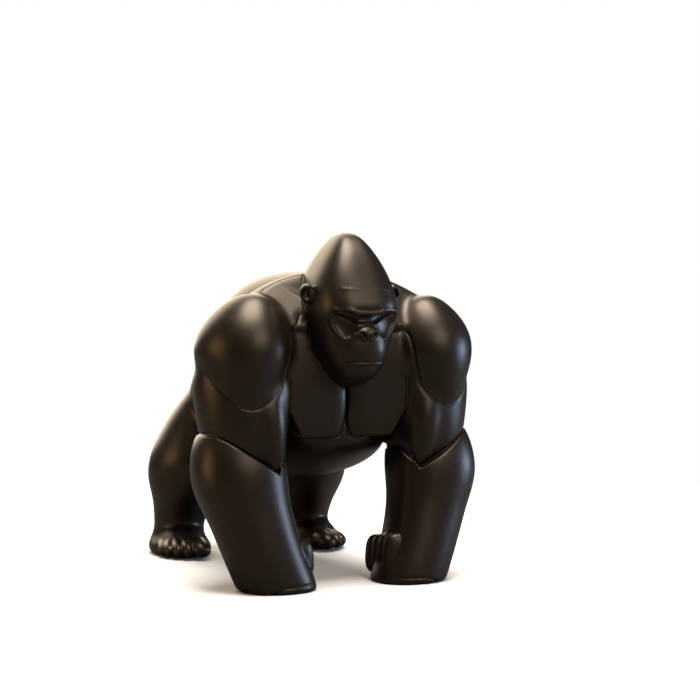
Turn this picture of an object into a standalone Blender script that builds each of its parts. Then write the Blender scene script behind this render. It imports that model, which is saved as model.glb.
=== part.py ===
# Gorilla figurine: one solid casting of a gorilla standing on its knuckles and feet.
# The muscles are swollen egg forms laid along the bones and fused into one skin, with creases
# kept at the chest, arms and face, then thinned to a light mesh that stands on four flat soles.
import math

import bmesh
import bpy
import numpy as np
from mathutils import Vector

MM = 0.001
ACROSS = Vector((1, 0, 0))
BACKWARD = Vector((0, 1, 0))
UPWARD = Vector((0, 0, 1))
MIRROR = Vector((-1, 1, 1))

# Skeleton of the left half, in millimetres: x to its left, y backwards, z up from the floor.
CROWN = Vector((0, -57.5, 182))
CHIN = Vector((0, -58.5, 103))
MUZZLE_TOP = Vector((0, -61, 150))
MUZZLE_FOOT = Vector((0, -66, 103))
BROW = Vector((17.8, -80.5, 143))
SOCKET_TOP = Vector((11.6, -86, 141))
SOCKET_FOOT = Vector((12.6, -85.4, 125))
NOSE_TOP = Vector((0, -82.6, 134.6))
NOSE_TIP = Vector((0, -83.6, 126.2))
NOSTRIL_OUTER = Vector((5.2, -87, 131.4))
NOSTRIL_INNER = Vector((1.3, -88, 127.8))
MOUTH = Vector((12.5, -84, 114.6))
EAR_TOP = Vector((24, -63, 156))
EAR_LOBE = Vector((23.5, -64.5, 145))
EAR_HOLLOW = Vector((25.3, -67.1, 150.3))
CHEST_TOP = Vector((22.5, -45, 140))
CHEST_FOOT = Vector((17.5, -46, 73))
CHEST_CORNER = Vector((25.7, -64.5, 78))
CHEST_EDGE = Vector((0, 0, 77))
RIBS_FRONT = Vector((0, -56, 112))
RIBS_BACK = Vector((0, 56, 104))
HUMP_FRONT = Vector((0, -52, 138))
HUMP_BACK = Vector((0, 52, 127))
BELLY_FRONT = Vector((0, -58, 80))
BELLY_BACK = Vector((0, 72, 73))
LOIN_FRONT = Vector((0, -20, 114))
RUMP = Vector((0, 107, 84))
NECK_ROOT = Vector((-4, -42, 139))
TRAPEZIUS_TIP = Vector((57, -46, 139))
TRAPEZIUS_FLAT = Vector((36, -54, 147))
SHOULDER = Vector((46, -49, 149.5))
DELTOID_TIP = Vector((57, -61, 91.5))
ARM_TOP = Vector((47, -42, 134))
ELBOW = Vector((54, -46.5, 50))
BICEPS_TOP = Vector((46, -53, 112))
BICEPS_TIP = Vector((41, -56, 52))
FOREARM_TOP = Vector((58, -41, 86))
FIST_FOOT = Vector((31.5, -57, -11))
ELBOW_CREASE = Vector((64, -58, 75.6))
NOTCH_TIP = Vector((39.5, -62, 59.5))
KNUCKLE = Vector((28, -62.5, 26))
HIP = Vector((31.5, 72, 100))
BUTTOCK_TOP = Vector((20, 84, 100))
BUTTOCK_FOOT = Vector((37, 88, 44))
KNEE = Vector((40, 81, 30))
SHIN_TOP = Vector((39.5, 75, 66))
SHIN_FOOT = Vector((40, 101, -10))
SOLE_BACK = Vector((39.5, 110, 5))
TOE_ROOT = Vector((42, 63, 3))
ANKLE = Vector((40, 95, 12))
INSTEP = Vector((43, 60, 4))

# Directions that the flat cuts of the forearm, chest and trapezius face.
CREASE_FACING = Vector((-0.62, -0.12, 1))
NOTCH_FACING = Vector((0.93, 0, 0.36))
CORNER_FACING = Vector((0.865, 0, -0.5))
TRAPEZIUS_FACING = Vector((0.07, -0.83, 0.55))
SOCKET_SIDE = Vector((0.916, 0.4, 0))
NOSTRIL_SIDE = Vector((0.67, 0, -0.74))

# Half widths and half depths of each form, evenly spaced from its first landmark to its second.
RIBS_WIDTHS, RIBS_DEPTHS = (32, 43, 46, 43, 36), (30, 38, 43, 40, 34)
HUMP_WIDTHS, HUMP_DEPTHS = (35, 45, 36), (23.5, 31, 21)
BELLY_WIDTHS, BELLY_DEPTHS = (36, 43, 34), (18, 26, 22)
LOIN_WIDTHS, LOIN_DEPTHS = (41, 44, 42, 34), (42, 43, 36, 26)
BUTTOCK_WIDTHS, BUTTOCK_DEPTHS = (12, 18, 17), (14, 20, 18)
THIGH_WIDTHS, THIGH_DEPTHS = (9, 17, 23, 20), (11, 20, 26, 20)
SHIN_WIDTHS, SHIN_DEPTHS = (19, 21.5, 16.5, 14, 14), (20, 20.5, 16, 13, 13)
FOOT_WIDTHS, FOOT_DEPTHS = (13, 17.5, 12.5), (9, 8.5, 6)
INSTEP_WIDTHS, INSTEP_DEPTHS = (11, 12, 11), (9, 9, 6)
TRAPEZIUS_WIDTHS, TRAPEZIUS_DEPTHS = (20, 20, 14), (25.5, 20.5, 9)
CHEST_WIDTHS, CHEST_DEPTHS = (18, 20, 21.5, 17.5), (14, 17, 18, 15)
ARM_WIDTHS, ARM_DEPTHS = (22, 27, 22.5, 16), (22, 25, 23, 18)
DELTOID_WIDTHS, DELTOID_DEPTHS = (20.5, 25, 14), (21, 28, 17)
BICEPS_WIDTHS, BICEPS_DEPTHS = (10, 10.5, 9.5, 6), (13, 16, 14, 9)
FOREARM_WIDTHS, FOREARM_DEPTHS = (20.5, 24.5, 21, 19.5, 20), (20, 22.5, 19.5, 19, 20)
HEAD_WIDTHS, HEAD_DEPTHS = (12, 17.4, 22, 22.3, 20.5, 16), (17.5, 24, 27.5, 25.5, 24, 19)
MUZZLE_WIDTHS, MUZZLE_DEPTHS = (10, 14.5, 17.5, 15.5), (18, 21, 22, 19)
BROW_HEIGHTS, BROW_DEPTHS = (1.4, 1.9, 1.9, 1.4), (1.5, 2.2, 2.2, 1.5)
SOCKET_WIDTHS, SOCKET_DEPTHS = (8, 9.2, 6.5, 2.4), (5, 5.2, 4.8, 3.5)
NOSE_WIDTHS, NOSE_DEPTHS = (4.4, 6.8, 5.8), (3.2, 4.4, 4.0)
EAR_WIDTHS, EAR_DEPTHS = (4.0, 4.8, 3.4), (3.2, 3.8, 2.6)
NOSTRIL_RADIUS, NOSTRIL_DEPTH = 1.6, 2.4
MOUTH_RADIUS, MOUTH_DEPTH = 1.1, 3.0
EAR_HOLLOW_RADIUS, EAR_HOLLOW_DEPTH, EAR_HOLLOW_LENGTH = 2.3, 2.8, 5.4

# Four fingers curled side by side under each hand, from the front one back.
FINGERS, FINGER_RADIUS, FINGER_WIDTH, FINGER_PITCH, FINGER_LENGTH = 4, 4.6, 7.6, 7.2, 21.0
FINGER_DROP, FINGER_LEAN = 1.0, 1.0

# Five toes from the big one outwards: the tip's x and y, and the toe's half width and half height.
TOES = ((39.5, 48.5, 6.0, 5.0), (47, 52, 3.7, 4.6), (51.8, 57, 3.5, 4.4), (55.3, 62.8, 3.3, 4.1),
        (57.4, 68.8, 3.1, 3.7))
TOE_LENGTH, TOE_RISE, TOE_SPLAY, TOE_STRAIGHT_AT, TOE_SQUAT = 17.0, 5.0, 0.3, 37.0, 0.9

# How far the middle of a curved form lies off the straight line between its landmarks.
FOREARM_BOW = (5, -3, 0)
DELTOID_BOW = (0, 8, 0)
BROW_BOW = (0, -6, -3.4)
MOUTH_BOW = (0, -4, -0.9)

# Squareness of the sections and fullness of the ends: 2 is round, more is squarer or blunter.
ROUND, SOFT, BOXY, SQUARE, SLAB = 2.0, 2.2, 2.4, 3.0, 4.5
TAPERED, FULL, BLUNT, FLAT = 2.4, 3.0, 4.0, 6.0
EGG_COLUMNS, EGG_ROWS = 40, 26

# Finish of the skin and size of the mesh.
CORE_VOXEL = 1.7
HEAD_VOXEL = 1.1
SKIN_VOXEL = 1.2
SMOOTHING_FACTOR = 0.5
CORE_SMOOTHING = 50
HEAD_SMOOTHING = 7
FACE_SMOOTHING = 1
SKIN_SMOOTHING = 2
TRIANGLES = 11700
DETAIL_THINNING, PLAIN_THINNING = 0.3, 1.0
FACE_BOX = (Vector((-30, -95, 100)), Vector((30, -52, 162)))
HAND_BOX = (Vector((-37, -74, 2)), Vector((37, -33, 34)))
TOE_BOX = (Vector((-65, 38, 1)), Vector((65, 76, 12)))
SOLE_TOLERANCE = 0.2
SHARP_ANGLE = math.radians(50)

BRONZE = (0.030, 0.022, 0.017, 1.0)
BRONZE_ROUGHNESS = 0.36


def clearScene():
    for thing in list(bpy.data.objects):
        bpy.data.objects.remove(thing, do_unlink=True)


def throughStations(values, t):
    """Smooth curve through evenly spaced values, t from -1 to 1."""
    if len(values) == 1:
        return np.full_like(t, values[0])
    last = len(values) - 1
    place = np.clip((t + 1) / 2 * last, 0, last - 1e-6)
    index = place.astype(int)
    u = place - index
    padded = np.array([2 * values[0] - values[1], *values, 2 * values[-1] - values[-2]], float)
    p0, p1, p2, p3 = (padded[index + step] for step in range(4))
    return 0.5 * (2 * p1 + (p2 - p0) * u + (2 * p0 - 5 * p1 + 4 * p2 - p3) * u ** 2
                  + (3 * p1 - p0 - 3 * p2 + p3) * u ** 3)


def eggPoints(unit, start, end, widths, depths, side, squareness, fullness, bow):
    """Points of a unit ball moved onto an egg: superellipse sections along start to end."""
    t = np.clip(unit[:, 2], -1, 1)
    angle = np.arctan2(unit[:, 1], unit[:, 0])
    closing = np.maximum(1 - np.abs(t) ** fullness, 0) ** (1 / fullness)
    closing[np.abs(t) > 1 - 1e-5] = 0
    power = 2 / squareness
    across = np.sign(np.cos(angle)) * np.abs(np.cos(angle)) ** power
    deep = np.sign(np.sin(angle)) * np.abs(np.sin(angle)) ** power
    axis = (end - start).normalized()
    sideways = (side - side.dot(axis) * axis).normalized()
    wide = across * closing * throughStations(widths, t)
    thick = deep * closing * throughStations(depths, t)
    spine = np.array((start + end) / 2) + np.outer(t, (end - start) / 2) + np.outer(1 - t ** 2, bow)
    return spine + np.outer(wide, sideways) + np.outer(thick, axis.cross(sideways))


def cutFlat(target, made, point, facing):
    """Cut the new egg flat along a plane and close it with a lid."""
    faces = list({face for vert in made for face in vert.link_faces})
    edges = list({edge for face in faces for edge in face.edges})
    cut = bmesh.ops.bisect_plane(target, geom=made + edges + faces, plane_co=point, plane_no=facing,
                                 clear_outer=True)
    rim = [item for item in cut["geom_cut"] if isinstance(item, bmesh.types.BMEdge)]
    bmesh.ops.contextual_create(target, geom=rim)
    return [item for item in cut["geom"] if isinstance(item, bmesh.types.BMVert) and item.is_valid]


def addMirrored(target, made):
    faces = list({face for vert in made for face in vert.link_faces})
    twin = bmesh.ops.duplicate(target, geom=made + faces)["geom"]
    for item in twin:
        if isinstance(item, bmesh.types.BMVert):
            item.co.x = -item.co.x
    bmesh.ops.reverse_faces(target, faces=[item for item in twin if isinstance(item, bmesh.types.BMFace)])


def egg(target, start, end, widths, depths, side=ACROSS, squareness=ROUND, fullness=TAPERED,
        bow=(0, 0, 0), pair=True, flats=()):
    """Add a closed egg to the mesh, by default with its twin on the other side."""
    made = list(bmesh.ops.create_uvsphere(target, u_segments=EGG_COLUMNS, v_segments=EGG_ROWS,
                                          radius=1.0)["verts"])
    unit = np.array([vert.co[:] for vert in made])
    for vert, point in zip(made, eggPoints(unit, start, end, widths, depths, side, squareness, fullness, bow)):
        vert.co = point
    for point, facing in flats:
        made = cutFlat(target, made, point, facing)
    if pair:
        addMirrored(target, made)


def objectFrom(name, build):
    shape = bmesh.new()
    build(shape)
    bmesh.ops.recalc_face_normals(shape, faces=shape.faces)
    mesh = bpy.data.meshes.new(name)
    shape.to_mesh(mesh)
    shape.free()
    made = bpy.data.objects.new(name, mesh)
    bpy.context.scene.collection.objects.link(made)
    return made


def addModifier(owner, kind, **settings):
    modifier = owner.modifiers.new(kind.lower(), kind)
    for name, value in settings.items():
        setattr(modifier, name, value)


def baked(owner):
    """The object's mesh with its modifiers applied."""
    graph = bpy.context.evaluated_depsgraph_get()
    mesh = bpy.data.meshes.new_from_object(owner.evaluated_get(graph))
    owner.modifiers.clear()
    owner.data = mesh
    return mesh


def coreForms(shape):
    """Masses that flow into each other: ribs, hump, belly, loin, thighs, shins and feet."""
    egg(shape, RIBS_FRONT, RIBS_BACK, RIBS_WIDTHS, RIBS_DEPTHS, squareness=SOFT, pair=False)
    egg(shape, HUMP_FRONT, HUMP_BACK, HUMP_WIDTHS, HUMP_DEPTHS, squareness=SOFT, pair=False)
    egg(shape, BELLY_FRONT, BELLY_BACK, BELLY_WIDTHS, BELLY_DEPTHS, squareness=SOFT, fullness=FULL, pair=False)
    egg(shape, LOIN_FRONT, RUMP, LOIN_WIDTHS, LOIN_DEPTHS, squareness=SOFT, pair=False)
    egg(shape, BUTTOCK_TOP, BUTTOCK_FOOT, BUTTOCK_WIDTHS, BUTTOCK_DEPTHS)
    egg(shape, HIP, KNEE, THIGH_WIDTHS, THIGH_DEPTHS)
    egg(shape, SHIN_TOP, SHIN_FOOT, SHIN_WIDTHS, SHIN_DEPTHS, fullness=BLUNT)
    egg(shape, SOLE_BACK, TOE_ROOT, FOOT_WIDTHS, FOOT_DEPTHS, fullness=FULL)
    egg(shape, ANKLE, INSTEP, INSTEP_WIDTHS, INSTEP_DEPTHS, fullness=FULL)


def armForms(shape):
    """Muscles of the shoulder, chest and arm, which keep a crease where they meet."""
    egg(shape, NECK_ROOT, TRAPEZIUS_TIP, TRAPEZIUS_WIDTHS, TRAPEZIUS_DEPTHS, side=BACKWARD, fullness=FULL,
        flats=((TRAPEZIUS_FLAT, TRAPEZIUS_FACING),))
    egg(shape, CHEST_TOP, CHEST_FOOT, CHEST_WIDTHS, CHEST_DEPTHS, squareness=SLAB, fullness=FLAT,
        flats=((CHEST_CORNER, CORNER_FACING), (CHEST_EDGE, -UPWARD), (TRAPEZIUS_FLAT, TRAPEZIUS_FACING)))
    egg(shape, ARM_TOP, ELBOW, ARM_WIDTHS, ARM_DEPTHS, fullness=FULL)
    egg(shape, BICEPS_TOP, BICEPS_TIP, BICEPS_WIDTHS, BICEPS_DEPTHS, squareness=SOFT)
    egg(shape, SHOULDER, DELTOID_TIP, DELTOID_WIDTHS, DELTOID_DEPTHS, bow=DELTOID_BOW)
    forearmTops = ((ELBOW_CREASE, CREASE_FACING), (NOTCH_TIP, NOTCH_FACING))
    for forearmTop in forearmTops:
        egg(shape, FOREARM_TOP, FIST_FOOT, FOREARM_WIDTHS, FOREARM_DEPTHS, squareness=SOFT, fullness=FLAT,
            bow=FOREARM_BOW, flats=(forearmTop,))


def fingerForms(shape):
    for row in range(FINGERS):
        knuckle = KNUCKLE + Vector((0, row * FINGER_PITCH, -row * FINGER_DROP))
        tip = knuckle - Vector((FINGER_LEAN, 0, FINGER_LENGTH))
        egg(shape, knuckle, tip, (FINGER_WIDTH,), (FINGER_RADIUS,), fullness=FULL)


def toeForms(shape):
    for x, y, width, height in TOES:
        tip = Vector((x, y, height * TOE_SQUAT))
        root = tip + Vector((-(x - TOE_STRAIGHT_AT) * TOE_SPLAY, TOE_LENGTH, TOE_RISE))
        egg(shape, root, tip, (width,), (height,))


def headForms(shape):
    egg(shape, CROWN, CHIN, HEAD_WIDTHS, HEAD_DEPTHS, squareness=SQUARE, pair=False)
    egg(shape, MUZZLE_TOP, MUZZLE_FOOT, MUZZLE_WIDTHS, MUZZLE_DEPTHS, squareness=BOXY, pair=False)


def socketCuts(shape):
    """Cutters for the two hollows under the brow and for the mouth."""
    egg(shape, SOCKET_TOP, SOCKET_FOOT, SOCKET_WIDTHS, SOCKET_DEPTHS, side=SOCKET_SIDE, squareness=BOXY)
    egg(shape, MOUTH * MIRROR, MOUTH, (MOUTH_RADIUS,), (MOUTH_DEPTH,), side=UPWARD, bow=MOUTH_BOW, pair=False)


def faceForms(shape):
    """What stands out of the head: the brow, the nose and the ears."""
    egg(shape, BROW * MIRROR, BROW, BROW_HEIGHTS, BROW_DEPTHS, side=UPWARD, fullness=FLAT, bow=BROW_BOW,
        pair=False)
    egg(shape, NOSE_TOP, NOSE_TIP, NOSE_WIDTHS, NOSE_DEPTHS, squareness=SOFT, pair=False)
    egg(shape, EAR_TOP, EAR_LOBE, EAR_WIDTHS, EAR_DEPTHS)


def faceCuts(shape):
    """Cutters for the nostrils and the hollows of the ears."""
    egg(shape, NOSTRIL_OUTER, NOSTRIL_INNER, (NOSTRIL_RADIUS,), (NOSTRIL_DEPTH,), side=NOSTRIL_SIDE)
    earHalf = Vector((0, 0, EAR_HOLLOW_LENGTH / 2))
    egg(shape, EAR_HOLLOW + earHalf, EAR_HOLLOW - earHalf, (EAR_HOLLOW_RADIUS,), (EAR_HOLLOW_DEPTH,))


def bronze():
    """Dark brown satin patina over the whole casting."""
    material = bpy.data.materials.new("dark_bronze_patina")
    material.use_nodes = True
    shader = material.node_tree.nodes["Principled BSDF"]
    shader.inputs["Base Color"].default_value = BRONZE
    shader.inputs["Roughness"].default_value = BRONZE_ROUGHNESS
    material.diffuse_color = BRONZE
    return material


def meshPoints(mesh):
    points = np.empty(len(mesh.vertices) * 3)
    mesh.vertices.foreach_get("co", points)
    return points.reshape(-1, 3)


def cutSoles(mesh):
    """Slice off what lies below the floor and close the four soles with flat faces."""
    shape = bmesh.new()
    shape.from_mesh(mesh)
    everything = list(shape.verts) + list(shape.edges) + list(shape.faces)
    cut = bmesh.ops.bisect_plane(shape, geom=everything, plane_co=(0, 0, 0), plane_no=UPWARD, clear_inner=True)
    rims = [item for item in cut["geom_cut"] if isinstance(item, bmesh.types.BMEdge)]
    bmesh.ops.holes_fill(shape, edges=rims, sides=0)
    shape.to_mesh(mesh)
    shape.free()


def thinOut(owner):
    """Thin the mesh to its triangle budget, less freely on the face, hands and toes."""
    points = meshPoints(owner.data)
    inside = np.zeros(len(points), bool)
    for low, high in (FACE_BOX, HAND_BOX, TOE_BOX):
        inside |= ((points > np.array(low)) & (points < np.array(high))).all(axis=1)
    group = owner.vertex_groups.new(name="thinning")
    group.add(np.nonzero(inside)[0].tolist(), DETAIL_THINNING, "REPLACE")
    group.add(np.nonzero(~inside)[0].tolist(), PLAIN_THINNING, "REPLACE")
    triangles = sum(len(polygon.vertices) - 2 for polygon in owner.data.polygons)
    addModifier(owner, "DECIMATE", ratio=TRIANGLES / triangles, use_symmetry=True, symmetry_axis="X",
                vertex_group=group.name, vertex_group_factor=1.0)
    return baked(owner)


def placeOnFloor(mesh):
    """Millimetres to metres, soles exactly on the floor, middle of the footprint at the origin."""
    points = meshPoints(mesh)
    points[points[:, 2] < SOLE_TOLERANCE, 2] = 0
    points[:, 1] -= (points[:, 1].min() + points[:, 1].max()) / 2
    mesh.vertices.foreach_set("co", (points * MM).ravel())
    mesh.update()


def remeshed(owner, voxel, smoothing):
    addModifier(owner, "REMESH", mode="VOXEL", voxel_size=voxel)
    addModifier(owner, "SMOOTH", factor=SMOOTHING_FACTOR, iterations=smoothing)
    return baked(owner)


def cutAway(owner, build):
    """Take the forms that build adds out of the object."""
    cutter = objectFrom("cutter", build)
    addModifier(owner, "BOOLEAN", operation="DIFFERENCE", object=cutter)
    baked(owner)
    bpy.data.objects.remove(cutter, do_unlink=True)


def fused(name, parts, builders):
    """New object from the meshes of the parts and from added forms. The parts are used up."""
    def together(shape):
        for part in parts:
            shape.from_mesh(part.data)
        for build in builders:
            build(shape)

    made = objectFrom(name, together)
    for part in parts:
        bpy.data.objects.remove(part, do_unlink=True)
    return made


def main():
    clearScene()
    core = objectFrom("core", coreForms)
    remeshed(core, CORE_VOXEL, CORE_SMOOTHING)
    skull = objectFrom("skull", headForms)
    remeshed(skull, HEAD_VOXEL, HEAD_SMOOTHING)
    cutAway(skull, socketCuts)
    head = fused("head", [skull], [faceForms])
    remeshed(head, HEAD_VOXEL, FACE_SMOOTHING)
    cutAway(head, faceCuts)
    figure = fused("gorilla_figurine", [core, head], [armForms, fingerForms, toeForms])
    cutSoles(remeshed(figure, SKIN_VOXEL, SKIN_SMOOTHING))
    mesh = thinOut(figure)
    placeOnFloor(mesh)
    mesh.materials.clear()
    mesh.materials.append(bronze())
    mesh.shade_smooth()
    mesh.set_sharp_from_angle(angle=SHARP_ANGLE)


if __name__ == "__main__":
    main()
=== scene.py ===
import bpy
import numpy as np
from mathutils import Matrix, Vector


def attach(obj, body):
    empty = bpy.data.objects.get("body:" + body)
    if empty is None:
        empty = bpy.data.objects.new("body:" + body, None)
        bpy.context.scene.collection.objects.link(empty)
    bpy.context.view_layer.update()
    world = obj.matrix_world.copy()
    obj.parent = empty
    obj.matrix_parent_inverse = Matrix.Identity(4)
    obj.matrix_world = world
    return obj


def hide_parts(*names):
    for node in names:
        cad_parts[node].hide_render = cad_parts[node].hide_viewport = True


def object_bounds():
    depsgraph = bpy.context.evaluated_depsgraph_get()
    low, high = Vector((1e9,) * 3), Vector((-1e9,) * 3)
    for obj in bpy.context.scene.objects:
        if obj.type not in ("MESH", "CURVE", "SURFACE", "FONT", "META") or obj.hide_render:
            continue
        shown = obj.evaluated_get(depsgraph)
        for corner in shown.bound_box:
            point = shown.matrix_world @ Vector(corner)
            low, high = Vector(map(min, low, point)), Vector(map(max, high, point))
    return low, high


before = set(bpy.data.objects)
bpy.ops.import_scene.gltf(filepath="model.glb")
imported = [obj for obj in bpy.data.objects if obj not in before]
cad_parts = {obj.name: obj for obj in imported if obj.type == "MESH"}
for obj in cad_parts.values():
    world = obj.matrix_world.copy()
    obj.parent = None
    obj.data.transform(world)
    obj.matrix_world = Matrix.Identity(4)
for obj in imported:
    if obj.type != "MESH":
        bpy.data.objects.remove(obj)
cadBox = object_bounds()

# The figure is one skin around egg forms that lie along the bones, all in millimetres:
# x to the animal's left, y backwards, z up. Only the left half is written, the right one mirrors it.
# wide and deep are half sizes at evenly spaced places from the form's start to its end. section and
# ends say how square they are, 2 being round. blend is the fillet where a form meets what is there and
# crease the depth of a line cut along that meeting. flats are planes (point, normal) that the form is
# cut back to, and of planes that stand in one list only what lies beyond them all is cut. edge rounds
# those cuts.
# A bead or a groove is a round line of the given radii through points, laid onto the skin of what is
# before it.
formDefaults = {"kind": "egg", "side": (1, 0, 0), "section": 2.0, "ends": 2.4, "bow": (0, 0, 0), "blend": 1.0,
                "crease": 0.0, "flats": (), "edge": 0.5}

torso = [
    {"start": (0, -56, 112), "end": (0, 56, 104), "wide": (32, 43, 46, 43, 36), "deep": (30, 38, 43, 40, 34),
     "section": 2.2, "blend": 0},
    {"start": (0, -52, 138), "end": (0, 52, 127), "wide": (35, 45, 36), "deep": (23.5, 31, 21),
     "section": 2.2, "blend": 10},
    {"start": (0, -58, 80), "end": (0, 72, 73), "wide": (36, 43, 34), "deep": (18, 26, 22), "section": 2.3,
     "ends": 2.8, "blend": 10},
    {"start": (0, -20, 114), "end": (0, 107, 84), "wide": (41, 44, 42, 34), "deep": (42, 43, 36, 26),
     "section": 2.2, "blend": 10},
]

legs = [
    {"start": (20, 84, 100), "end": (37, 88, 44), "wide": (12, 18, 17), "deep": (14, 20, 18), "blend": 8},
    {"start": (31.5, 72, 100), "end": (40, 81, 30), "wide": (9, 17, 23, 20), "deep": (11, 20, 26, 20),
     "blend": 8},
    {"start": (39.5, 75, 66), "end": (40, 101, -10), "wide": (19, 21.5, 16.5, 14, 14),
     "deep": (20, 20.5, 16, 13, 13), "ends": 4, "blend": 8},
    {"start": (39.5, 110, 5), "end": (42, 63, 3), "wide": (13, 17.5, 12.5), "deep": (9, 8.5, 6),
     "ends": 3, "blend": 10},
    {"start": (40, 95, 12), "end": (43, 60, 4), "wide": (11, 12, 11), "deep": (9, 9, 6), "ends": 2.4,
     "blend": 10},
]

arms = [
    {"start": (-4, -42, 139), "end": (57, -46, 139), "wide": (18.5, 20, 14), "deep": (25.5, 20.5, 9),
     "side": (0, 1, 0), "ends": 3, "blend": 3, "flats": [[((36, -54, 147), (0.07, -0.83, 0.55))]], "edge": 2},
    {"start": (47, -42, 134), "end": (54, -46.5, 50), "wide": (22, 27, 22.5, 16), "deep": (22, 25, 23, 18),
     "ends": 3, "blend": 1.5},
    {"start": (22.5, -45, 140), "end": (17.5, -46, 73), "wide": (18, 20, 21.5, 17.5),
     "deep": (16.5, 18.2, 18, 15), "section": 4.5, "ends": 8, "blend": 0.8, "crease": 0.5, "edge": 1.5,
     "flats": [[((25.7, -64.5, 78), (0.865, 0, -0.5))], [((0, 0, 77), (0, 0, -1))],
               [((0.5, 0, 0), (-1, 0, 0))], [((36, -54, 146), (0.07, -0.83, 0.55))]]},
    {"start": (46, -53, 112), "end": (41, -56, 52), "wide": (10, 10.5, 9.5, 6), "deep": (13, 16, 14, 9),
     "section": 2.2, "ends": 2.2, "blend": 4},
    {"start": (46, -49, 149.5), "end": (57, -61, 91.5), "wide": (20.5, 25, 14), "deep": (21, 28, 17),
     "bow": (0, 8, 0), "ends": 2.3, "blend": 4},
    {"kind": "groove", "points": ((26, -61, 141), (31, -66.5, 131), (34.5, -68, 120), (37, -67, 110),
                                  (41, -66, 101), (48, -68, 94.5), (56.5, -66, 92.5), (62, -62, 97),
                                  (67, -56, 104), (70.5, -48, 112)),
     "radii": (0.3, 0.6, 0.8, 0.8, 0.8, 0.6, 0.6, 0.5, 0.4, 0.2), "blend": 1.0},
    {"start": (58, -41, 86), "end": (31.5, -57, -11), "wide": (20.5, 24.5, 21, 19.5, 20),
     "deep": (20, 22.5, 19.5, 19, 20), "section": 2.2, "ends": 6, "bow": (5, -3, 0), "blend": 0.4,
     "crease": 0.7, "edge": 0.8,
     "flats": [[((64, -58, 75.6), (-0.62, -0.12, 1)), ((39.5, -62, 59.5), (0.93, 0, 0.36))]]},
    {"kind": "groove", "points": ((58, -48, 5), (53, -62, 4.3), (45, -70, 3.8), (36, -74, 3.6),
                                  (27, -73, 3.8), (21, -68, 4.3)),
     "radii": (0.2, 0.4, 0.45, 0.45, 0.4, 0.2), "blend": 0.8},
]

head = [
    {"start": (0, -57.5, 182), "end": (0, -58.5, 103),
     "wide": (12, 15, 17.9, 20.3, 22, 22.5, 22.3, 21.7, 20.5, 18.4, 16),
     "deep": (17, 20, 22.5, 25.0, 27.3, 28.9, 26.2, 24.8, 24, 22.2, 19),
     "section": 3, "ends": 2.6, "blend": 0.6, "crease": 0.5},
    {"start": (0, -61, 150), "end": (0, -66, 103), "wide": (10, 14.5, 17.5, 15.5), "deep": (18, 21, 22, 19),
     "section": 2.4, "blend": 3},
    {"kind": "hollow", "start": (11.6, -86, 142), "end": (12.6, -85.4, 125), "wide": (8, 9.2, 6.5, 2.4),
     "deep": (5, 5.2, 4.8, 3.5), "side": (0.916, 0.4, 0), "section": 2.4, "blend": 0.6},
    {"kind": "groove", "points": ((0, -86.5, 136.8), (6, -85, 137.2), (11.5, -83.5, 138.6),
                                  (16.5, -81, 140.2)),
     "radii": (2.2, 2.4, 2.1, 1.2), "blend": 0.8},
    {"kind": "bead", "points": ((0, -87.3, 139.8), (6, -87, 140.2), (11.5, -85, 141.2), (17.8, -80.8, 143.0)),
     "radii": (0.8, 0.9, 0.9, 0.7), "blend": 1.5},
    {"kind": "bead", "points": ((17.8, -80, 141.5), (18.1, -79, 138), (17.5, -79, 135.3), (16, -79.8, 132.2),
                                (13.5, -81, 129), (11.2, -82.3, 127.2), (9.4, -82.8, 128.3)),
     "radii": (0.9, 0.8, 0.8, 0.8, 0.8, 0.9, 0.5), "blend": 0.8},
    {"start": (0, -82.6, 134.6), "end": (0, -83.6, 126.2), "wide": (4.4, 6.8, 5.8), "deep": (3.2, 4.4, 4.0),
     "section": 2.2, "blend": 0.8},
    {"kind": "hollow", "start": (5.0, -87.0, 131.2), "end": (1.5, -88.0, 128.0), "wide": (1.5,),
     "deep": (2.4,), "side": (0.67, 0, -0.74), "blend": 0.4},
    {"kind": "bead", "points": ((5.6, -86, 131.5), (3.2, -87.5, 131.6), (1.0, -88, 129.9), (0.7, -88, 127.6),
                                (2.8, -87.5, 127.4), (5.2, -86.5, 129.2), (5.6, -86, 131.5)),
     "radii": (0.5,), "blend": 0.5},
    {"kind": "groove", "points": ((0, -88, 113.7), (5.5, -87, 113.9), (11.6, -83, 114.6)),
     "radii": (0.7, 0.7, 0.5), "blend": 0.4},
    {"kind": "bead", "points": ((0, -88, 112.3), (5.5, -87, 112.5), (11.0, -83.3, 113.3)),
     "radii": (0.8, 0.8, 0.5), "blend": 0.6},
    {"kind": "groove", "points": ((0, -88, 110.8), (5.2, -87, 111.0), (9.8, -83.5, 111.9)),
     "radii": (0.4, 0.4, 0.3), "blend": 0.8},
    {"kind": "bead", "points": ((0, -84.5, 152.0), (7, -84, 152.2), (13.2, -82, 152.6)),
     "radii": (0.2, 0.2, 0.1), "blend": 1.0},
    {"start": (24, -63, 155.5), "end": (23.5, -64.5, 145.5), "wide": (3.4, 4.0, 2.8), "deep": (3.0, 3.4, 2.4),
     "blend": 1.0},
    {"kind": "hollow", "start": (25.4, -67.2, 153.0), "end": (25.2, -67, 147.6), "wide": (2.2,),
     "deep": (2.8,), "blend": 0.4},
    {"kind": "bead", "points": ((21.5, -67.5, 153.8), (23.6, -67.5, 155), (26.4, -66, 154),
                                (27.4, -65, 150.5), (26.4, -65.5, 147.2), (24.2, -66.5, 146)),
     "radii": (0.6, 0.9, 0.9, 0.8, 0.7, 0.6), "blend": 0.5},
]

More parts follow.
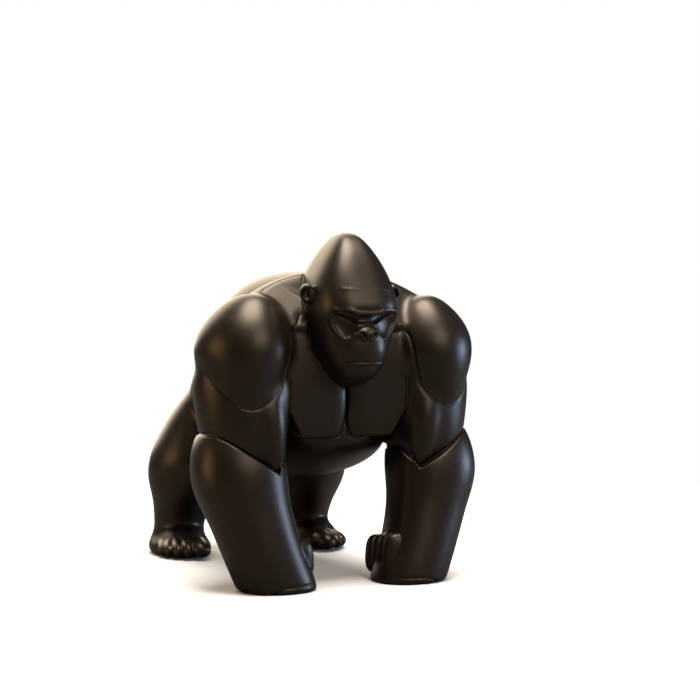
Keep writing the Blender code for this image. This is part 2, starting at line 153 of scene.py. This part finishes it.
# A finger's length runs down from its knuckle, pitch is the step to the next one back, drop and lean
# what a knuckle and a fingertip move by. A toe has its tip's x and y, half width and half height.
hand = {"fingers": 4, "radius": 4.6, "width": 7.6, "pitch": 7.2, "length": 21.0, "knuckle": (28, -62.5, 26),
        "drop": 1.0, "lean": 1.0, "blend": 0.6}
foot = {"toes": ((39.5, 48.5, 6.0, 5.0), (47, 52, 3.7, 4.6), (51.8, 57, 3.5, 4.4), (55.3, 62.8, 3.3, 4.1),
                 (57.4, 68.8, 3.1, 3.7)),
        "tipHeight": 0.9, "length": 17.0, "rise": 5.0, "splay": 0.3, "straightAt": 37.0, "blend": 0.8}
skin = {"cell": 0.7, "block": 4, "low": (0, -104, -4), "high": (84, 118, 190), "soleRounding": 4.0,
        "snapSteps": 2, "inset": 0.00001, "triangles": 190000}

farAway = 30.0          # the distance of a point that no form comes near
nearReach = 8.0         # how far round its box a form is worked out
creaseRounding = 0.5
slopeStep = 0.15        # half the stretch over which a slope is measured
boxSpare = 1.05         # a form's box is this much larger than its half sizes
pastEnds = 1.2          # a section keeps its size beyond this place
lineSteps = 6           # straight pieces of a line between two given points
lineSlides = 4          # moves onto the skin of each point of a line
slideLimit = 3.0


def smoothMin(a, b, blend):
    # The lower of a and b, with a fillet: minus blend / 6 times the cube of 1 - |a - b| / blend
    if blend <= 0:
        return np.minimum(a, b)
    near = np.maximum(1 - np.abs(a - b) / blend, 0)
    return np.minimum(a, b) - near ** 3 * (blend / 6)


def smoothMax(a, b, blend):
    return -smoothMin(-a, -b, blend)


def throughStations(values, t):
    # Smooth curve (Catmull-Rom) through evenly spaced values as t runs from -1 to 1
    values = np.asarray(values, np.float32)
    if len(values) == 1:
        return values[0]
    last = len(values) - 1
    place = np.clip((t + 1) / 2 * last, 0, last - 1e-4)
    index = place.astype(int)
    u = (place - index).astype(np.float32)
    padded = np.concatenate([[2 * values[0] - values[1]], values, [2 * values[-1] - values[-2]]])
    p0, p1, p2, p3 = (padded[index + step] for step in range(4))
    return 0.5 * (2 * p1 + (p2 - p0) * u + (2 * p0 - 5 * p1 + 4 * p2 - p3) * u ** 2
                  + (3 * p1 - p0 - 3 * p2 + p3) * u ** 3)


def planeDistance(points, point, normal):
    normal = np.array(normal, np.float32)
    return (points - np.array(point, np.float32)) @ (normal / np.linalg.norm(normal))


class Egg:
    # Closed form along a line: at the place t from -1 to 1 its section is a superellipse with the half sizes
    # wide(t) and deep(t). With r the size of a point relative to that section, the surface is where
    # (r ** ends + |t| ** ends) ** (1 / ends) is 1. That less 1, over its own steepness, is nearly the
    # distance.

    def __init__(self, shape):
        start, end = (np.array(shape[key], np.float32) for key in ("start", "end"))
        self.middle = (start + end) / 2
        self.reach = float(np.linalg.norm(end - start) / 2)
        self.along = (end - start) / (2 * self.reach)
        side = np.array(shape["side"], np.float32)
        side = side - side @ self.along * self.along
        self.across = side / np.linalg.norm(side)
        self.through = np.cross(self.along, self.across)
        self.shape = shape
        self.bow = np.array(shape["bow"], np.float32)
        size = max(*shape["wide"], *shape["deep"]) * boxSpare
        extent = np.abs(self.along) * self.reach + size + np.abs(self.bow)
        self.low, self.high = self.middle - extent, self.middle + extent

    def distance(self, points):
        shape = self.shape
        offset = points - self.middle
        along = offset @ self.along / self.reach
        t = np.clip(along, -pastEnds, pastEnds)
        offset = offset - (1 - t * t)[:, None] * self.bow
        wide, deep = throughStations(shape["wide"], t), throughStations(shape["deep"], t)
        x, y = np.abs(offset @ self.across) / wide, np.abs(offset @ self.through) / deep
        n, m = shape["section"], shape["ends"]
        r = (x ** n + y ** n) ** (1 / n) + 1e-6
        slopeX, slopeY = (x / r) ** (n - 1) / wide, (y / r) ** (n - 1) / deep
        a = np.abs(along)
        whole = (r ** m + a ** m) ** (1 / m) + 1e-6
        slopeR, slopeA = (r / whole) ** (m - 1), (a / whole) ** (m - 1) / self.reach
        steepness = np.sqrt(slopeR ** 2 * (slopeX ** 2 + slopeY ** 2) + slopeA ** 2) + 1e-6
        found = (whole - 1) / steepness
        for planes in shape["flats"]:
            beyond = np.min([planeDistance(points, *plane) for plane in planes], axis=0)
            found = smoothMax(found, beyond, shape["edge"])
        return found


class Line:
    # Round line along a smooth curve whose points first slide onto the skin of the forms before it

    def __init__(self, shape):
        given = np.array(shape["points"], np.float32)
        t = np.linspace(-1, 1, lineSteps * (len(given) - 1) + 1)
        curve = np.stack([throughStations(column, t) for column in given.T], 1)
        self.points = slid(curve, lineSlides, slideLimit)
        self.radii = throughStations(shape["radii"], t) * np.ones(len(t), np.float32)
        self.shape = shape
        self.low = self.points.min(axis=0) - self.radii.max()
        self.high = self.points.max(axis=0) + self.radii.max()

    def distance(self, points):
        nearest = np.full(len(points), farAway, np.float32)
        for i, (a, b) in enumerate(zip(self.points[:-1], self.points[1:])):
            along = np.clip((points - a) @ (b - a) / ((b - a) @ (b - a) + 1e-6), 0, 1)
            radius = self.radii[i] + (self.radii[i + 1] - self.radii[i]) * along
            offset = points - a - along[:, None] * (b - a)
            nearest = np.minimum(nearest, np.linalg.norm(offset, axis=1) - radius)
        return nearest


def handForms(settings):
    # Curled fingers, side by side from the front one back
    knuckle = np.array(settings["knuckle"], float)
    for row in range(settings["fingers"]):
        start = knuckle + (0, row * settings["pitch"], -row * settings["drop"])
        end = start - (settings["lean"], 0, settings["length"])
        yield {"start": start, "end": end, "wide": (settings["width"],), "deep": (settings["radius"],),
               "ends": 3, "blend": settings["blend"]}


def footForms(settings):
    # Toes from the big one outwards, each tip given with its half width and half height
    for x, y, wide, deep in settings["toes"]:
        tip = np.array((x, y, deep * settings["tipHeight"]))
        root = tip + (-(x - settings["straightAt"]) * settings["splay"], settings["length"], settings["rise"])
        yield {"start": root, "end": tip, "wide": (wide,), "deep": (deep,), "blend": settings["blend"]}


forms = [{**formDefaults, **shape} for shape in
         (*torso, *legs, *arms, *handForms(hand), *footForms(foot), *head)]
eggs = []


def skinDistance(points):
    # Signed distance to the figure's skin, negative inside. Each form is only asked about points near it
    points = points.copy()
    points[:, 0] = np.abs(points[:, 0])
    total = np.full(len(points), farAway, np.float32)
    for egg in eggs:
        shape = egg.shape
        reach = nearReach + shape["blend"]
        near = np.nonzero(((points > egg.low - reach) & (points < egg.high + reach)).all(axis=1))[0]
        if not len(near):
            continue
        here = egg.distance(points[near])
        before = total[near]
        if shape["kind"] in ("hollow", "groove"):
            total[near] = smoothMax(before, -here, shape["blend"])
            continue
        joined = smoothMin(before, here, shape["blend"])
        if shape["crease"]:
            joined = smoothMax(joined, shape["crease"] - np.hypot(before, here), creaseRounding)
        total[near] = joined
    return smoothMax(total, -points[:, 2], skin["soleRounding"])


def steepest(points, step):
    # Direction in which the distance grows, from differences over a small step along each axis
    slope = np.zeros_like(points)
    for axis in range(3):
        offset = np.zeros(3, np.float32)
        offset[axis] = step
        slope[:, axis] = skinDistance(points + offset) - skinDistance(points - offset)
    return slope / (2 * step)


def slid(points, steps, limit):
    # Each point slides down the distance onto the skin, by distance over steepness
    points = points.astype(np.float32)
    for _ in range(steps):
        slope = steepest(points, slopeStep)
        move = skinDistance(points) / ((slope ** 2).sum(axis=1) + 1e-6)
        points = points - np.clip(move, -limit, limit)[:, None] * slope
    return points


for shape in forms:
    eggs.append((Line if "points" in shape else Egg)(shape))


def gridOfDistances(settings):
    # Distances on a grid of the left half. Far from the skin, a block of cells keeps its middle's distance
    cell, block = settings["cell"], settings["block"]
    low = np.array(settings["low"]) + (cell / 2, 0, 0)
    counts = np.ceil((np.array(settings["high"]) - low) / (cell * block)).astype(int)
    blocks = np.stack(np.meshgrid(*(np.arange(count) for count in counts), indexing="ij"), -1).reshape(-1, 3)
    middles = low + (blocks * block + (block - 1) / 2) * cell
    coarse = skinDistance(middles.astype(np.float32))
    grid = coarse.reshape(counts)
    for axis in range(3):
        grid = grid.repeat(block, axis=axis)
    active = blocks[np.abs(coarse) < cell * block * 1.6 + 1.5] * block
    inner = np.stack(np.meshgrid(*(np.arange(block),) * 3, indexing="ij"), -1).reshape(-1, 3)
    nodes = (active[:, None] + inner[None]).reshape(-1, 3)
    grid[tuple(nodes.T)] = skinDistance((low + nodes * cell).astype(np.float32))
    return np.concatenate([grid[::-1], grid]), np.array([-low[0] - (len(grid) - 1) * cell, low[1], low[2]])


def netOfSkin(grid, low, cell):
    # One point in each cell that the skin crosses, at the mean of the crossings on its edges,
    # and one four-sided face around each grid edge that the skin crosses
    inside = grid < 0
    corners = [np.array([i, j, k]) for i in (0, 1) for j in (0, 1) for k in (0, 1)]
    count = sum(inside[tuple(slice(c, n - 1 + c) for c, n in zip(corner, grid.shape))].astype(np.int8)
                for corner in corners)
    crossed = (count > 0) & (count < 8)
    cells = np.argwhere(crossed)
    numbers = np.full(crossed.shape, -1)
    numbers[crossed] = np.arange(len(cells))
    total, crossings = np.zeros((len(cells), 3)), np.zeros(len(cells))
    for axis in range(3):
        for corner in corners:
            if corner[axis]:
                continue
            a = grid[tuple((cells + corner).T)]
            b = grid[tuple((cells + corner + np.eye(3, dtype=int)[axis]).T)]
            change = (a < 0) != (b < 0)
            place = np.tile(corner.astype(float), (change.sum(), 1))
            place[:, axis] += a[change] / (a[change] - b[change])
            total[change] += place
            crossings[change] += 1
    points = low + (cells + total / crossings[:, None]) * cell
    faces = []
    for axis in range(3):
        step = np.eye(3, dtype=int)
        here = inside[tuple(slice(0, -1) if a == axis else slice(1, -1) for a in range(3))]
        there = inside[tuple(slice(1, None) if a == axis else slice(1, -1) for a in range(3))]
        edges = np.argwhere(here != there)
        outward = here[tuple(edges.T)]
        edges = edges + 1 - step[axis]
        u, v = step[(axis + 1) % 3], step[(axis + 2) % 3]
        ring = np.stack([numbers[tuple((edges - shift).T)] for shift in (u + v, v, 0 * u, u)], 1)
        ring[~outward] = ring[~outward][:, ::-1]
        faces.append(ring)
    return points, np.concatenate(faces)


def newObject(name, points, faces):
    mesh = bpy.data.meshes.new(name)
    mesh.from_pydata(points, [], faces.tolist())
    mesh.validate()
    made = bpy.data.objects.new(name, mesh)
    bpy.context.scene.collection.objects.link(made)
    return made


def fittedToFrame(points, inset):
    # The skin's own box is laid on the frame's box, a hair inside its walls and top
    low, high = (np.array(corner) for corner in cadBox)
    low[:2] += inset
    high -= inset
    ownLow, ownHigh = points.min(axis=0), points.max(axis=0)
    return low + (points - ownLow) * (high - low) / (ownHigh - ownLow)


def figure(settings):
    grid, low = gridOfDistances(settings)
    points, faces = netOfSkin(grid, low, settings["cell"])
    print("skin net", len(points), "points")
    points = slid(points, settings["snapSteps"], settings["cell"] * 0.7)
    points[:, 2] = np.maximum(points[:, 2], 0)
    made = newObject("gorilla_skin", fittedToFrame(points, settings["inset"]), faces)
    print("figure", points.min(axis=0), points.max(axis=0))
    thin = made.modifiers.new("thin", "DECIMATE")
    thin.ratio = min(settings["triangles"] / (2 * len(faces)), 1)
    made.data = bpy.data.meshes.new_from_object(made.evaluated_get(bpy.context.evaluated_depsgraph_get()))
    made.modifiers.clear()
    made.data.shade_smooth()
    return made


class Value:
    # A socket that takes part in Python expressions, each operator adding its Math node

    def __init__(self, shader, socket):
        self.shader, self.socket = shader, socket

    def math(self, operation, a, b):
        return self.shader.node("ShaderNodeMath", {"operation": operation}, {0: a, 1: b})

    def __add__(self, other):
        return self.math("ADD", self, other)

    def __sub__(self, other):
        return self.math("SUBTRACT", self, other)

    def __rsub__(self, other):
        return self.math("SUBTRACT", other, self)

    def __mul__(self, other):
        return self.math("MULTIPLY", self, other)

    __radd__ = __add__
    __rmul__ = __mul__


class Shader:
    def __init__(self, name):
        self.material = bpy.data.materials.new(name)
        self.material.use_nodes = True
        self.tree = self.material.node_tree
        self.tree.nodes.clear()

    def node(self, kind, settings, inputs, output=0):
        made = self.tree.nodes.new(kind)
        for name, value in settings.items():
            if name == "stops":
                ramp = made.color_ramp
                while len(ramp.elements) < len(value):
                    ramp.elements.new(0.5)
                for element, (place, color) in zip(ramp.elements, value):
                    element.position, element.color = place, color
            else:
                setattr(made, name, value)
        for key, value in inputs.items():
            if isinstance(value, Value):
                self.tree.links.new(value.socket, made.inputs[key])
            else:
                made.inputs[key].default_value = value
        return Value(self, made.outputs[output])


bronze = {
    "deep": (0.0042, 0.0029, 0.0017, 1),     # the patina's darkest brown
    "warm": (0.0105, 0.0068, 0.0038, 1),     # where it is rubbed a little lighter
    "mottleScale": 38.0,
    "grainScale": 420.0,
    "tint": (1.0, 0.83, 0.65, 1),
    "roughness": 0.38,
    "roughnessSpread": 0.10,
    "specular": 0.6,
    "bumpHeight": 0.00002,                   # metres
}


def bronzeMaterial(settings):
    shader = Shader("bronzePatina")
    place = shader.node("ShaderNodeTexCoord", {}, {}, "Object")
    mottle = shader.node("ShaderNodeTexNoise", {}, {"Vector": place, "Scale": settings["mottleScale"],
                                                    "Detail": 4.0, "Roughness": 0.55}, "Fac")
    grain = shader.node("ShaderNodeTexNoise", {}, {"Vector": place, "Scale": settings["grainScale"],
                                                   "Detail": 3.0}, "Fac")
    color = shader.node("ShaderNodeMix", {"data_type": "RGBA"},
                        {"Factor": mottle * 0.8 + grain * 0.2, "A": settings["deep"], "B": settings["warm"]},
                        "Result")
    roughness = settings["roughness"] + settings["roughnessSpread"] * (mottle * 0.6 + grain * 0.4 - 0.5)
    bump = shader.node("ShaderNodeBump", {}, {"Strength": 1.0, "Distance": settings["bumpHeight"],
                                              "Height": grain}, "Normal")
    surface = shader.node("ShaderNodeBsdfPrincipled", {},
                          {"Base Color": color, "Roughness": roughness, "Normal": bump,
                           "Specular IOR Level": settings["specular"],
                           "Specular Tint": settings["tint"]}, "BSDF")
    output = shader.tree.nodes.new("ShaderNodeOutputMaterial")
    shader.tree.links.new(surface.socket, output.inputs["Surface"])
    return shader.material


gorilla = figure(skin)
gorilla.data.materials.append(bronzeMaterial(bronze))
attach(gorilla, "root")
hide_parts("gorilla_figurine")
print("gorilla ready", len(gorilla.data.polygons), "faces")

# The floor keeps the figure's shadow near it and fades to plain white further out, for the camera only
stage = {"floorSize": 6.0, "floorColor": (0.14, 0.14, 0.14, 1), "cameraFloor": (1.0, 1.0, 1.0, 1),
         "fadeFrom": 0.22, "fadeTo": 0.60, "worldLevel": 0.06}


def floorAndWorld(settings):
    half = settings["floorSize"] / 2
    corners = np.array([(-half, -half, 0), (half, -half, 0), (half, half, 0), (-half, half, 0)])
    floor = newObject("floor", corners, np.array([(0, 1, 2, 3)]))
    shader = Shader("paleFloor")
    cameraRay = shader.node("ShaderNodeLightPath", {}, {}, "Is Camera Ray")
    color = shader.node("ShaderNodeMix", {"data_type": "RGBA"},
                        {"Factor": cameraRay, "A": settings["floorColor"], "B": settings["cameraFloor"]},
                        "Result")
    lit = shader.node("ShaderNodeBsdfDiffuse", {}, {"Color": color}, "BSDF")
    white = shader.node("ShaderNodeEmission", {}, {"Color": (1, 1, 1, 1), "Strength": 1.0}, "Emission")
    place = shader.node("ShaderNodeTexCoord", {}, {}, "Object")
    away = shader.node("ShaderNodeVectorMath", {"operation": "LENGTH"}, {0: place}, "Value")
    fade = shader.node("ShaderNodeMapRange", {"interpolation_type": "SMOOTHSTEP"},
                       {"Value": away, "From Min": settings["fadeFrom"], "From Max": settings["fadeTo"]},
                       "Result")
    surface = shader.node("ShaderNodeMixShader", {}, {"Fac": fade * cameraRay, 1: lit, 2: white}, "Shader")
    output = shader.tree.nodes.new("ShaderNodeOutputMaterial")
    shader.tree.links.new(surface.socket, output.inputs["Surface"])
    floor.data.materials.append(shader.material)
    world = bpy.data.worlds.new("studio")
    bpy.context.scene.world = world
    world.use_nodes = True
    nodes, links = world.node_tree.nodes, world.node_tree.links
    background = nodes["Background"]
    path = nodes.new("ShaderNodeLightPath")
    level = nodes.new("ShaderNodeMapRange")
    level.inputs["To Min"].default_value = settings["worldLevel"]
    level.inputs["To Max"].default_value = 1.0
    links.new(path.outputs["Is Camera Ray"], level.inputs["Value"])
    links.new(level.outputs["Result"], background.inputs["Strength"])
    background.inputs["Color"].default_value = (1, 1, 1, 1)
    return floor


# Places and sizes in metres, power in watts
lamps = {
    "overhead": {"place": (0.02, -0.20, 1.30), "size": 0.8, "power": 26.0, "color": (1.0, 0.93, 0.86)},
    "backdrop": {"place": (0.10, 1.45, 0.95), "size": 1.9, "power": 38.0, "color": (1.0, 0.86, 0.66)},
    "left": {"place": (-1.40, 0.10, 0.30), "size": 0.8, "power": 3.6, "color": (1.0, 0.66, 0.38)},
    "right": {"place": (1.30, -0.42, 0.14), "size": 0.5, "power": 9.0, "color": (0.48, 0.66, 1.0)},
    "front": {"place": (0.27, -1.15, 0.78), "size": 0.8, "power": 5.0, "color": (1.0, 0.90, 0.81)},
}


lampAim = Vector((0, -0.02, 0.09))


def addLamp(name, settings):
    light = bpy.data.lights.new(name, "AREA")
    light.shape = "DISK"
    light.size = settings["size"]
    light.energy = settings["power"]
    light.color = settings["color"]
    lamp = bpy.data.objects.new(name, light)
    lamp.location = settings["place"]
    lamp.visible_camera = False
    lamp.rotation_euler = (lampAim - Vector(settings["place"])).to_track_quat("-Z", "Y").to_euler()
    bpy.context.scene.collection.objects.link(lamp)


# The camera looks from the photograph's angle, in degrees round from the front and up
view = {"azimuth": -25.0, "elevation": 1.0, "distance": 0.850, "target": (0.02474, -0.02186, 0.1205),
        "lens": 79.56}


def addCamera(settings):
    azimuth, elevation = np.radians(settings["azimuth"]), np.radians(settings["elevation"])
    level = np.cos(elevation)
    back = Vector((np.sin(azimuth) * level, -np.cos(azimuth) * level, np.sin(elevation)))
    camera = bpy.data.objects.new("camera", bpy.data.cameras.new("camera"))
    camera.data.lens = settings["lens"]
    camera.location = Vector(settings["target"]) + back * settings["distance"]
    camera.rotation_euler = (-back).to_track_quat("-Z", "Y").to_euler()
    bpy.context.scene.collection.objects.link(camera)
    bpy.context.scene.camera = camera


floorAndWorld(stage)
for name, settings in lamps.items():
    addLamp(name, settings)
addCamera(view)
bpy.context.scene.view_settings.view_transform = "Standard"
print("stage ready")
